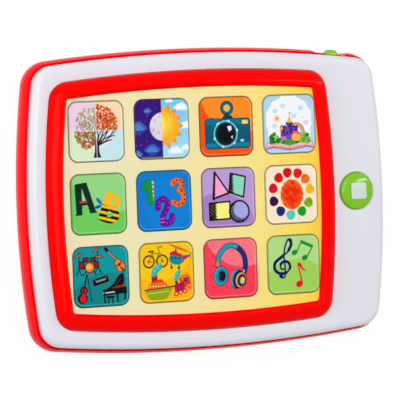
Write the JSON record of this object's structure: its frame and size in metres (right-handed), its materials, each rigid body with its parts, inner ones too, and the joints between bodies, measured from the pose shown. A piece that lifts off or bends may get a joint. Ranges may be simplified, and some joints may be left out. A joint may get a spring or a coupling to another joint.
{
  "type": "toy tablet",
  "caption": "Toddler's play tablet with square picture keys in a raised bezel, a domed home button, a power slider in the top edge and a battery door in the back.",
  "frame": {"origin": "middle of the footprint, on the flat back", "axes": "+X to the screen's right, towards the home button; +Y up the screen, towards the power slider; +Z out of the screen"},
  "size_m": [0.2382, 0.1782, 0.0307],
  "materials": {
    "red_plastic": "moulded, high gloss",
    "white_plastic": "moulded, soft gloss",
    "panel_yellow": "printed and gloss coated, cream to yellow",
    "key_print": "printed pictures under a clear gloss coat",
    "green_plastic": "moulded, gloss",
    "keypad_rubber": "moulded silicone",
    "board_laminate": "solder mask",
    "black_plastic": "matt",
    "steel": "nickel plated",
    "speaker_paper": "pressed pulp",
    "cell_jacket": "shrink film",
    "red_wire": "vinyl insulation",
    "black_wire": "vinyl insulation",
    "blue_wire": "vinyl insulation"
  },
  "bodies": {
    "case": {"rear_shell": "red_plastic", "front_frame": "white_plastic", "screen_bezel": "red_plastic", "key_panel": "panel_yellow", "rubber_keypad": "keypad_rubber", "main_board": "board_laminate", "sound_chip": "black_plastic", "capacitor": "black_plastic", "home_switch": "black_plastic", "slide_switch": "steel", "cell_1": "cell_jacket", "cell_2": "cell_jacket", "cell_3": "cell_jacket", "contact_positive": "steel", "contact_link_left": "steel", "contact_link_right": "steel", "contact_negative": "steel", "speaker_frame": "steel", "speaker_cone": "speaker_paper", "speaker_magnet": "black_plastic", "speaker_screw_1": "steel", "speaker_screw_2": "steel", "battery_lead_positive": "red_wire", "battery_lead_negative": "black_wire", "speaker_lead_1": "black_wire", "speaker_lead_2": "red_wire", "switch_lead_1": "blue_wire", "switch_lead_2": "blue_wire", "case_screw_1": "steel", "case_screw_2": "steel", "case_screw_3": "steel", "case_screw_4": "steel", "case_screw_5": "steel", "case_screw_6": "steel", "board_screw_1": "steel", "board_screw_2": "steel", "board_screw_3": "steel", "board_screw_4": "steel"},
    "key_tree": {"key_tree": "key_print"},
    "key_sky": {"key_sky": "key_print"},
    "key_camera": {"key_camera": "key_print"},
    "key_castle": {"key_castle": "key_print"},
    "key_letters": {"key_letters": "key_print"},
    "key_numbers": {"key_numbers": "key_print"},
    "key_shapes": {"key_shapes": "key_print"},
    "key_colours": {"key_colours": "key_print"},
    "key_band": {"key_band": "key_print"},
    "key_traffic": {"key_traffic": "key_print"},
    "key_headphones": {"key_headphones": "key_print"},
    "key_music": {"key_music": "key_print"},
    "home_button": {"home_button": "green_plastic", "home_button_inlay": "white_plastic"},
    "power_slider": {"power_slider": "green_plastic", "switch_lever": "black_plastic"},
    "battery_door": {"battery_door": "red_plastic", "battery_door_screw": "steel"}
  },
  "joints": [
    {"name": "press_tree", "type": "slide", "parent": "case", "child": "key_tree", "axis": [0, 0, -1], "range_m": [0, 0.0008], "stiffness_N_per_m": 300, "springref_m": -0.001},
    {"name": "press_sky", "type": "slide", "parent": "case", "child": "key_sky", "axis": [0, 0, -1], "range_m": [0, 0.0008], "stiffness_N_per_m": 300, "springref_m": -0.001},
    {"name": "press_camera", "type": "slide", "parent": "case", "child": "key_camera", "axis": [0, 0, -1], "range_m": [0, 0.0008], "stiffness_N_per_m": 300, "springref_m": -0.001},
    {"name": "press_castle", "type": "slide", "parent": "case", "child": "key_castle", "axis": [0, 0, -1], "range_m": [0, 0.0008], "stiffness_N_per_m": 300, "springref_m": -0.001},
    {"name": "press_letters", "type": "slide", "parent": "case", "child": "key_letters", "axis": [0, 0, -1], "range_m": [0, 0.0008], "stiffness_N_per_m": 300, "springref_m": -0.001},
    {"name": "press_numbers", "type": "slide", "parent": "case", "child": "key_numbers", "axis": [0, 0, -1], "range_m": [0, 0.0008], "stiffness_N_per_m": 300, "springref_m": -0.001},
    {"name": "press_shapes", "type": "slide", "parent": "case", "child": "key_shapes", "axis": [0, 0, -1], "range_m": [0, 0.0008], "stiffness_N_per_m": 300, "springref_m": -0.001},
    {"name": "press_colours", "type": "slide", "parent": "case", "child": "key_colours", "axis": [0, 0, -1], "range_m": [0, 0.0008], "stiffness_N_per_m": 300, "springref_m": -0.001},
    {"name": "press_band", "type": "slide", "parent": "case", "child": "key_band", "axis": [0, 0, -1], "range_m": [0, 0.0008], "stiffness_N_per_m": 300, "springref_m": -0.001},
    {"name": "press_traffic", "type": "slide", "parent": "case", "child": "key_traffic", "axis": [0, 0, -1], "range_m": [0, 0.0008], "stiffness_N_per_m": 300, "springref_m": -0.001},
    {"name": "press_headphones", "type": "slide", "parent": "case", "child": "key_headphones", "axis": [0, 0, -1], "range_m": [0, 0.0008], "stiffness_N_per_m": 300, "springref_m": -0.001},
    {"name": "press_music", "type": "slide", "parent": "case", "child": "key_music", "axis": [0, 0, -1], "range_m": [0, 0.0008], "stiffness_N_per_m": 300, "springref_m": -0.001},
    {"name": "press_home", "type": "slide", "parent": "case", "child": "home_button", "axis": [0, 0, -1], "range_m": [0, 0.0012], "stiffness_N_per_m": 400, "springref_m": -0.001},
    {"name": "slide_power", "type": "slide", "parent": "case", "child": "power_slider", "axis": [0.9954, -0.096, 0], "range_m": [-0.004, 0]},
    {"name": "open_battery_door", "type": "hinge", "parent": "case", "child": "battery_door", "pos_m": [-0.0442, -0.02, 0.00015], "axis": [0, 1, 0], "range_deg": [0, 35]}
  ]
}
